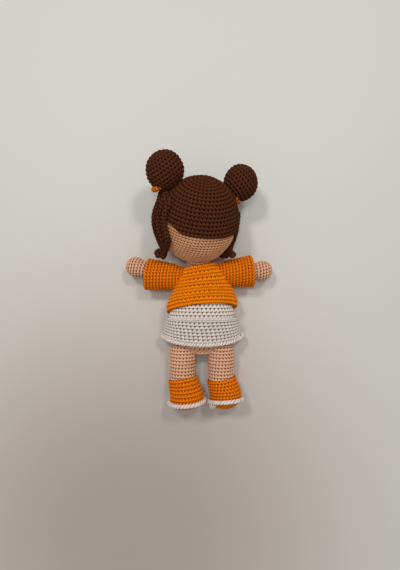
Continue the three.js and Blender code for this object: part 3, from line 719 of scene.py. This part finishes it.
def on_hair(px, py, lift, behind=False):
    """The place at a distance over the cap that the photograph shows at a pixel.

    A pixel beside the cap gives the nearest place. behind takes the far side of the cap.
    """
    eye_at = Vector(EYE)
    ahead = (seen_at(px, py, 0) - eye_at).normalized()
    back = HEAD.inverted()
    size = Vector((1 / (CAP_RADIUS + lift), 1 / (CAP_HALF + lift), 1 / (CAP_RADIUS + lift)))
    start = back @ eye_at * size
    line = (back.to_3x3() @ ahead) * size
    a, b, c = line.dot(line), start.dot(line), start.dot(start) - 1
    root = math.sqrt(max(b * b - a * c, 0))
    far = (root - b) / a if behind else (-b - root) / a
    return eye_at + ahead * far


# Each strand of hair goes through pixels of the photograph, at a distance over the cap
LOCKS = {
    "back_port": [
        (163.2, 189.2, 0.6), (160.4, 198.6, 1.6), (157.2, 205.5, 2), (154.7, 213, 2.2),
        (154.2, 223, 2.2), (156.4, 233, 2.2), (159.4, 241, 2.2), (162.2, 248, 2.2),
        (161.2, 253.6, 2.2),
    ],
    "middle_port": [
        (167.5, 192, 0.6), (164.6, 199.5, 1.4), (161.2, 208, 2), (159.0, 215, 2.2),
        (158.8, 224, 2.2), (161.0, 233.5, 2.2), (163.6, 241.5, 2.2), (164.2, 248.5, 2.2),
        (163.4, 254.2, 2.2),
    ],
    "front_port": [
        (171.5, 199, 0.6), (168.2, 206, 1.4), (165.4, 212, 2), (163.9, 218, 2.2),
        (164.0, 225, 2.2), (166.4, 234, 2.2), (167.8, 240.5, 2.2), (166.4, 247.5, 2.2),
        (164.4, 253.8, 2.2),
    ],
    "back_starboard": [
        (236.5, 212, 2), (236.9, 222, 2.4), (235.9, 231, 2.6), (233.6, 239, 2.6),
        (230.9, 246, 2.6), (229.2, 253.2, 2.6),
    ],
    "middle_starboard": [
        (233.5, 212, 2), (234.0, 222, 2.4), (233.0, 231, 2.6), (231.2, 240, 2.6),
        (228.8, 247, 2.6), (226.8, 254, 2.6),
    ],
    "front_starboard": [
        (230.5, 212, 2), (231.0, 222, 2.4), (230.0, 231, 2.6), (228.4, 240, 2.6),
        (226.2, 248, 2.6), (224.4, 254.5, 2.6),
    ],
}

# The end of a strand curls to one side, 1 or -1, or toward the table, 0, and sinks by a distance
CURLS = {
    "back_port": (1, -3.0), "middle_port": (0, -2.4), "front_port": (0, -1.0),
    "back_starboard": (-1, -2.4), "middle_starboard": (0, -2.4), "front_starboard": (1, -2.4),
}
CURL_RADIUS, CURL_TURNS, CURL_POINTS = 2.5, 0.85, 6


def lock_line(name):
    """Points along a strand of hair, down the cap and round the curl at its end."""
    points = [on_hair(*place, behind="starboard" in name) for place in LOCKS[name]]
    last = points[-1]
    along = (last - points[-2]).normalized()
    side, down = CURLS[name]
    bend = Vector((along.y, -along.x, 0)).normalized() * side if side else Vector((0, 0, -1))
    for k in range(1, CURL_POINTS + 1):
        angle = k / CURL_POINTS * CURL_TURNS * TURN
        points.append(
            last + along * CURL_RADIUS * math.sin(angle)
            + bend * CURL_RADIUS * (1 - math.cos(angle)) + Vector((0, 0, down * k / CURL_POINTS))
        )
    return [tuple(p) for p in points]


def strand_radius(along):
    """Thicker where it is sewn on, and thinner at its end."""
    return 2.7 + 1.3 * (1 - smooth(along * 4)) - 0.3 * smooth((along - 0.86) * 8)


for name in LOCKS:
    strand = crochet(
        f"hair_strand_{name}", sweep(lock_line(name), strand_radius), BROWN, row=3.6, stitch=4.0,
        lift=1.15, sink=0.5, seed=31, uneven=0.0, lean=0.4, fine=6,
    )
    piece_of(strand, "head", "brown_crochet", f"hair_lock_{name}")


# Torso and arms


def trunk_at(y):
    """x, z, half width and half depth of the torso at a place along it."""
    along = (y - TORSO_BOTTOM) / TORSO_LENGTH
    x, z, wide, deep = (eased(along, TORSO[:, 0], TORSO[:, k]) for k in (1, 2, 3, 4))
    return NECK_SHIFT * x, TORSO_HEIGHT * z, TORSO_WIDE * wide, TORSO_DEEP * deep


NECK_RADIUS = 12.9
NECK_FOOT = (NECK_SHIFT, 43.0, 21.6)
NECK_LINE = (HEAD_PLACE - Vector(NECK_FOOT)).normalized()
NECK_LEAN = math.atan2(NECK_LINE.z, NECK_LINE.y)


def torso_surface(turn, along):
    """From between the legs, over the flat of the hips, up the torso to the neck in the head."""
    rows = [
        (-49.0, 0, 15.6, 3.0, 2.4, 0), (-49.0, 0, 15.6, 8.6, 6.8, 0),
        (-48.4, 0, 15.6, 12.4, 9.4, 0), (-47.0, 0, 15.6, 16.4, 10.8, 0),
        (-45.2, 0, 15.6, 22.6, 11.4, 0), (-43.2, 0, 15.7, 29.6, 11.8, 0),
    ]
    for y in (-40, -32, -21, -8, 4, 16, 28, 36):
        rows.append((y, *(float(v) for v in trunk_at(y)), 0))
    rows.append((NECK_FOOT[1], NECK_FOOT[0], NECK_FOOT[2], 13.1, NECK_RADIUS, 0.21))
    for below_head in (47.4, 38.0):
        place = HEAD_PLACE - NECK_LINE * below_head
        rows.append((place.y, place.x, place.z, NECK_RADIUS, NECK_RADIUS, NECK_LEAN))
    table = np.array(rows)
    run = np.concatenate([[0], np.cumsum(np.hypot(np.diff(table[:, 0]), np.diff(table[:, 3])))])
    y, x, z, wide, deep, lean = (eased(along, run / run[-1], table[:, k]) for k in range(6))
    return ring_point(turn, x, y, z, wide, deep, lean)


torso = crochet("torso_crochet", torso_surface, PEACH, row=3.6, stitch=3.8, seed=41)
piece_of(torso, "torso", "peach_crochet", "torso_skin", "torso_stuffing")

# up and out are the shoulder's place as shares of the torso, reach is from there to the hand,
# rise and slip are the angles of the arm and of its sleeve, and cuff is where the sleeve ends
ARMS = {
    "port": {
        "up": 0.898, "out": 0.807, "reach": 47.3, "rise": 14.3, "cuff": 32.4, "slip": -7.6,
    },
    "starboard": {
        "up": 0.9515, "out": 0.747, "reach": 41.3, "rise": 4.3, "cuff": 28.4, "slip": 0.2,
    },
}
SHOULDER_HEIGHT, ARM_DROOP, HAND_RADIUS = 21, 4.5, 10.7


def make_arm(name, up, out, reach, rise, cuff, slip):
    """An arm with its hand, and the sleeve over it."""
    side = SIDES[name]
    shoulder = shift_to(
        side * out * TORSO_WIDE, TORSO_BOTTOM + up * TORSO_LENGTH, SHOULDER_HEIGHT,
    )
    shoulder = shoulder @ spin(rise if side > 0 else 180 - rise, "Z") @ spin(ARM_DROOP, "Y")
    profile = [
        (-4.6, 0.6), (-3.9, 2.9), (-1.8, 5.2), (2.2, 7.4), (9, 8.3), (reach * 0.5, 8.5),
        (reach - 7.0, 8.9),
    ]
    for angle in np.radians((-20, 0, 22, 45, 66, 80)):
        profile.append((reach + HAND_RADIUS * math.sin(angle), HAND_RADIUS * math.cos(angle)))
    profile.append((reach + HAND_RADIUS, 0.3))
    hand = crochet(
        f"arm_crochet_{name}", set_at(turned(profile), shoulder @ spin(-90, "Z")), PEACH,
        row=3.5, stitch=3.7, lift=1.4, sink=0.5, seed=51 + side, lean=0.2,
    )
    piece_of(hand, f"arm_{name}", "peach_crochet", f"arm_skin_{name}", f"arm_stuffing_{name}")
    sleeve_line = shoulder @ spin(side * slip, "Z") @ spin(-90, "Z")
    sleeve_profile = [(-13, 9.6), (-6, 11.6), (0, 13.2), (cuff * 0.5, 15.2), (cuff + 1.6, 17.3)]
    sleeve = crochet(
        f"sleeve_crochet_{name}", set_at(turned(sleeve_profile), sleeve_line), DEEP_ORANGE,
        row=3.5, stitch=3.6, lift=1.55, sink=0.5, wall=2.2, closed=(False, False), seed=61 + side,
    )
    bend = (shoulder @ Vector((-4, 0, 0)), shoulder @ Vector((12, 0, 0)))
    piece_of(sleeve, f"arm_{name}", "orange_crochet", f"sweater_sleeve_{name}", bend=bend)


for name, arm_sizes in ARMS.items():
    make_arm(name, **arm_sizes)


# Sweater and skirt


def sweater_surface(turn, along):
    columns = (eased(along, SWEATER[:, 0], SWEATER[:, k]) for k in range(1, 7))
    x, z, wide, deep, rise, roll = columns
    return ring_point(
        turn, NECK_SHIFT * x, COLLAR_Y - SWEATER_LENGTH * along, TORSO_HEIGHT * z,
        SWEATER_WIDE * wide, SWEATER_DEEP * deep,
        rise=SWEATER_RISE * rise, roll=SWEATER_ROLL * roll,
    )


sweater = crochet(
    "sweater_crochet", sweater_surface, ORANGE, row=4.9, stitch=4.3, legs=(VEE, BEADS), lift=2.3,
    sink=0.6, wall=2.2, closed=(False, False), seed=71, lean=0.06,
)
piece_of(sweater, "torso", "orange_crochet", "sweater_body")

YOKE_TOP, YOKE_LENGTH, YOKE_OVER_TORSO = 9.0, 26.4, 2.6


def yoke_surface(turn, along):
    y = YOKE_TOP - YOKE_LENGTH * along
    x, z, wide, deep = trunk_at(y)
    return ring_point(turn, x, y, z, wide + YOKE_OVER_TORSO, deep + YOKE_OVER_TORSO)


yoke = crochet(
    "yoke_crochet", yoke_surface, WHITE, row=3.6, stitch=3.8, lift=1.2, wall=1.8,
    closed=(False, False), seed=81,
)
piece_of(yoke, "torso", "white_crochet", "skirt_yoke")

# The flounce goes from the yoke's ridge to the hem. Its front is longer than its sides, and
# its back lies on the table.
RIDGE_Y = -9.6
RIDGE_HEIGHT, HEM_HEIGHT = 24, 14.8
RIDGE_WIDE, HEM_WIDE = 38.4, 42.4
RIDGE_DEEP, HEM_DEEP = 24, 22.4
SIDE_LENGTH, FRONT_LENGTH, BACK_LENGTH = 17.6, 26, 13


def flounce_surface(turn, along):
    up = np.sin(turn * TURN)
    height = RIDGE_HEIGHT + (HEM_HEIGHT - RIDGE_HEIGHT) * along
    half = np.where(up > 0, RIDGE_DEEP + (HEM_DEEP - RIDGE_DEEP) * along, height + 0.5)
    middle_length = np.where(up > 0, FRONT_LENGTH, BACK_LENGTH)
    length = SIDE_LENGTH + (middle_length - SIDE_LENGTH) * np.abs(up)
    wide = RIDGE_WIDE + (HEM_WIDE - RIDGE_WIDE) * along
    return stack(wide * np.cos(turn * TURN), RIDGE_Y - length * along, height + half * up)


flounce = crochet(
    "flounce_crochet", flounce_surface, WHITE, row=3.0, stitch=3.8, lift=1.2, wall=1.8,
    closed=(False, False), seed=91,
)
piece_of(flounce, "torso", "white_crochet", "skirt_flounce")

EDGING_RADIUS, EDGING_BELOW, EDGING_OUT, EDGING_LOWEST = 2.1, 1.9, 2.0, 2.2


def hem_point(turn):
    """A point of the hem's edging, which goes a little further out at the doll's sides."""
    edge = flounce_surface(np.array(turn), np.array(1.0))
    across = math.cos(turn * TURN)
    at_side = max(0.0, abs(across) - 0.93) / 0.07
    edge = edge + np.array([math.copysign(EDGING_OUT * at_side, across), -EDGING_BELOW, 0])
    edge[2] = max(edge[2], EDGING_LOWEST)
    return edge


edging = twisted(
    "edging_crochet", sweep([hem_point(k / 56) for k in range(56)], EDGING_RADIUS, closed=True),
    WHITE, length=238, pitch=3.6, depth=0.42,
)
piece_of(edging, "torso", "white_crochet", "skirt_edging")
ridge_line = [flounce_surface(np.array(k / 48), np.array(0.01)) for k in range(48)]
ridge = twisted(
    "ridge_crochet", sweep(ridge_line, 1.1, closed=True), WHITE, length=200, pitch=4.1, depth=0.24,
)
piece_of(ridge, "torso", "white_crochet")


# Legs and shoes

# out is the hip's place as a share of the torso, tilt and toe_back are the slopes of the sole
# across and along it, slant is the ankle's turn, wide is half the shoe's width, dome is how far
# the sole bulges, and top_tilt is the slope of the shoe's top across it
LEGS = {
    "port": {
        "out": 0.642, "tilt": 5.0, "toe_back": 2.0, "slant": 2.5, "wide": 16.8, "dome": 7.6,
        "top_tilt": 7.0,
    },
    "starboard": {
        "out": 0.636, "tilt": 0.0, "toe_back": 13.0, "slant": 3.5, "wide": 15.6, "dome": 9.6,
        "top_tilt": 10.0,
    },
}
HIP_Y, HIP_HEIGHT = -43.9, 15.6
ANKLE_DOWN, TOE_OUT = 32, 26
LEG_PROFILE = [
    (5, 6), (3.6, 11.5), (0, 13.6), (-8, 14.0), (-25.6, 13.6), (-34.4, 13.5), (-38, 12.4),
]

# Rows of the shoe: the share down it, and how far it has gone from its top's size to its
# sole's. Rows of the sole: shares of its bulge and of its size, at SOLE_PLACES along it.
SHOE = np.array([[0, 0], [0.2, 0.25], [0.45, 0.72], [0.7, 1.0], [0.88, 1.06], [1, 1]])
SOLE = np.array([[0, 1], [0.5, 0.8], [0.86, 0.45], [1, 0.04]])
SOLE_PLACES = (0, 0.35, 0.72, 1)
SHOE_TOP, SHOE_LONG, SHOE_LENGTH, TOE_SHIFT = 15.4, 20.6, 24.5, 8.6
SHOE_TOP_SLOPE = 9 * DEGREE
TRIM_RADIUS, TRIM_OUT = 2.2, 1.6


def make_leg(name, out, tilt, toe_back, slant, wide, dome, top_tilt):
    """A leg, and the shoe on it with its sole and its corded seam."""
    side = SIDES[name]
    hip = shift_to(side * out * TORSO_WIDE, HIP_Y, HIP_HEIGHT)
    ankle = hip @ shift_to(0, -ANKLE_DOWN, 0) @ spin(slant, "Z")
    ankle = ankle @ spin(TOE_OUT, "Y") @ spin(toe_back / 2, "X")
    leg = crochet(
        f"leg_crochet_{name}", set_at(turned(LEG_PROFILE), hip), PEACH, row=3.6, stitch=3.8,
        lift=1.35, seed=101 + side, lean=0.1,
    )
    bend = (hip @ Vector((0, 1.5, 0)), hip @ Vector((0, -20, 0)))
    piece_of(
        leg, f"leg_{name}", "peach_crochet", f"leg_skin_{name}", f"leg_stuffing_{name}", bend=bend,
    )

    def sole_lift(across, forward):
        return forward * math.tan(toe_back * DEGREE) + across * math.tan(tilt * DEGREE)

    def shoe_surface(turn, along):
        wider = eased(along, SHOE[:, 0], SHOE[:, 1])
        across = (SHOE_TOP + (wide - SHOE_TOP) * wider) * np.cos(turn * TURN)
        forward = (SHOE_TOP + (SHOE_LONG - SHOE_TOP) * wider) * np.sin(turn * TURN)
        forward = TOE_SHIFT * wider + forward
        top = forward * math.tan(SHOE_TOP_SLOPE) + across * math.tan((top_tilt - slant) * DEGREE)
        foot = sole_lift(across, forward) - SHOE_LENGTH
        return stack(across, (1 - along) * top + along * foot, forward)

    shoe = crochet(
        f"shoe_crochet_{name}", set_at(shoe_surface, ankle), DEEP_ORANGE, row=3.8, stitch=3.9,
        lift=1.7, wall=2.2, closed=(False, False), seed=111 + side, lean=0.1,
    )
    piece_of(shoe, f"leg_{name}", "orange_crochet", f"shoe_upper_{name}")

    def sole_surface(turn, along):
        bulge, size = (eased(along, SOLE_PLACES, SOLE[:, k]) for k in (0, 1))
        across = size * wide * np.cos(turn * TURN)
        forward = TOE_SHIFT + size * SHOE_LONG * np.sin(turn * TURN)
        low = sole_lift(across, forward) - SHOE_LENGTH - 0.3 - dome * bulge
        return stack(across, low, forward)

    sole = crochet(
        f"sole_crochet_{name}", set_at(sole_surface, ankle), DEEP_ORANGE, row=3.5, stitch=3.8,
        lift=1.1, seed=121 + side, lean=0.1,
    )
    piece_of(sole, f"leg_{name}", "orange_crochet", f"shoe_sole_{name}")

    def rim_point(angle):
        across = (wide + TRIM_OUT) * math.cos(angle)
        forward = TOE_SHIFT + (SHOE_LONG + TRIM_OUT) * math.sin(angle)
        place = Vector((across, sole_lift(across, forward) - SHOE_LENGTH, forward))
        return tuple(ankle @ place)

    rim = [rim_point(k / 32 * TURN) for k in range(32)]
    trim = twisted(
        f"trim_crochet_{name}", sweep(rim, TRIM_RADIUS, closed=True), WHITE, length=126, pitch=3.5,
        depth=0.28,
    )
    piece_of(trim, f"leg_{name}", "white_crochet", f"shoe_trim_{name}")


for name, leg_sizes in LEGS.items():
    make_leg(name, **leg_sizes)

# The end of the yarn is tied into a knot at the inner side of one shoe's seam
knot_place = shift_to(*seen_at(214.0, 405.0, 27.0)) @ spin(-62, "Z")
knot = crochet(
    "trim_knot", set_at(egg(3.2, 4.7), knot_place), WHITE, row=2.6, stitch=2.9, lift=0.9,
    seed=131, lean=0.3, uneven=0.4,
)
piece_of(knot, "leg_starboard", "white_crochet")


# Camera, light and floor

SENSOR = 36.0
eye = bpy.data.objects.new("photo_eye", bpy.data.cameras.new("photo_eye"))
bpy.context.scene.collection.objects.link(eye)
eye.location = [length * MM for length in EYE]
eye.data.sensor_width = SENSOR
eye.data.lens = FOCAL / PICTURE[1] * SENSOR
eye.data.clip_start = 0.01
bpy.context.scene.camera = eye
bpy.context.scene.view_settings.view_transform = "Standard"


def soft_light(name, place, size, power):
    """A round lamp that looks at the doll, with its place and size in metres."""
    lamp = bpy.data.lights.new(name, "AREA")
    lamp.shape, lamp.size, lamp.energy = "DISK", size, power
    made = bpy.data.objects.new(name, lamp)
    made.location = place
    made.rotation_mode = "QUATERNION"
    made.rotation_quaternion = (Vector((0, 0, 0.02)) - Vector(place)).to_track_quat("-Z", "Y")
    bpy.context.scene.collection.objects.link(made)


soft_light("ceiling_left", (-0.42, 0.62, 1.25), 0.22, 5.0)
soft_light("ceiling_right", (0.42, 0.70, 1.35), 0.24, 5.0)
soft_light("ceiling_middle", (-0.06, 0.20, 1.50), 0.30, 3.6)

# The room lights the doll, and what is seen past the table is as pale as the table
world = bpy.data.worlds.new("room")
bpy.context.scene.world = world
world.use_nodes = True
room = Nodes(world.node_tree)
seen = room.node("ShaderNodeLightPath", out="Is Camera Ray")
for kind in ("Is Glossy Ray", "Is Transmission Ray"):
    ray = room.node("ShaderNodeLightPath", out=kind)
    seen = room.node("ShaderNodeMath", {"operation": "ADD", "use_clamp": True}, {0: seen, 1: ray})
plain = room.tree.nodes["Background"]
plain.inputs["Color"].default_value = (1.0, 0.985, 0.96, 1.0)
plain.inputs["Strength"].default_value = 0.36
light = Shade(room, plain.outputs[0])
beyond = room.node("ShaderNodeBackground", {}, {"Color": linear(204, 202, 197)})
room.show("World Output", room.node("ShaderNodeMixShader", {}, {0: seen, 1: light, 2: beyond}))

# The table's top, with a painted shadow that darkens it toward one corner, and fades into the room
# a long way off
table = Finish("pale_table", roughness=0.5, shine=0.35)
ground = table.vector_sum("MULTIPLY", table.object_place(), (3.4, 3.4, 0.0))
off_painted_shadow = table.length_of(table.vector_sum("ADD", ground, (0.27, 0.80, 0.0)))
# Painted shadow colour near the shadow's middle, the table's own pale colour further off
table.feed("Base Color", table.between(
    table.stretch(off_painted_shadow, 0.1, 1.25), linear(176, 164, 156), linear(212, 209, 203),
))
fade = table.stretch(table.length_of(table.object_place()), 0.6, 1.3)
top, nothing = Shade(table, table.surface.outputs[0]), table.node("ShaderNodeBsdfTransparent")
table.show("Material Output", table.node("ShaderNodeMixShader", {}, {0: fade, 1: top, 2: nothing}))
floor_mesh = bpy.data.meshes.new("table_top")
floor_mesh.from_pydata([(-3, -3, 0), (3, -3, 0), (3, 3, 0), (-3, 3, 0)], [], [(0, 1, 2, 3)])
floor_mesh.materials.append(table.material)
floor = bpy.data.objects.new("table_top", floor_mesh)
bpy.context.scene.collection.objects.link(floor)
